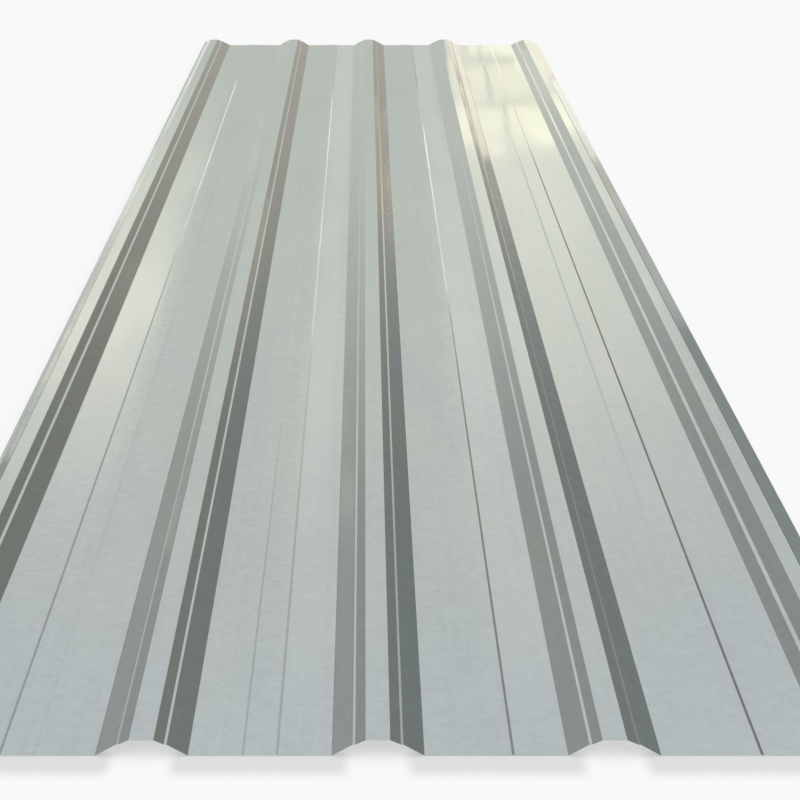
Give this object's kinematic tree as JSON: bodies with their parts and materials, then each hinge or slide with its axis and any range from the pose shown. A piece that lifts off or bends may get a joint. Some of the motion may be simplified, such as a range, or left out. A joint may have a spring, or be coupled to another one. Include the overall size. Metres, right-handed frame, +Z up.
{
  "type": "corrugated metal sheet",
  "caption": "Long trapezoidal roofing sheet with stepped ribs and flat pans, each with a shallow stiffening swage; one edge rib ends in a lip and the other in a full leg.",
  "frame": {"origin": "under the middle of the sheet's outline, at the level of the pans' undersides", "axes": "+X across the ribs towards the edge rib with the full leg, +Y along the ribs, +Z up through the ribs' tops"},
  "size_m": [0.9598, 3.6, 0.0165],
  "materials": {
    "galvanised_steel": "hot-dip galvanised, satin"
  },
  "bodies": {
    "root": {"ribbed_sheet": "galvanised_steel"}
  },
  "joints": []
}
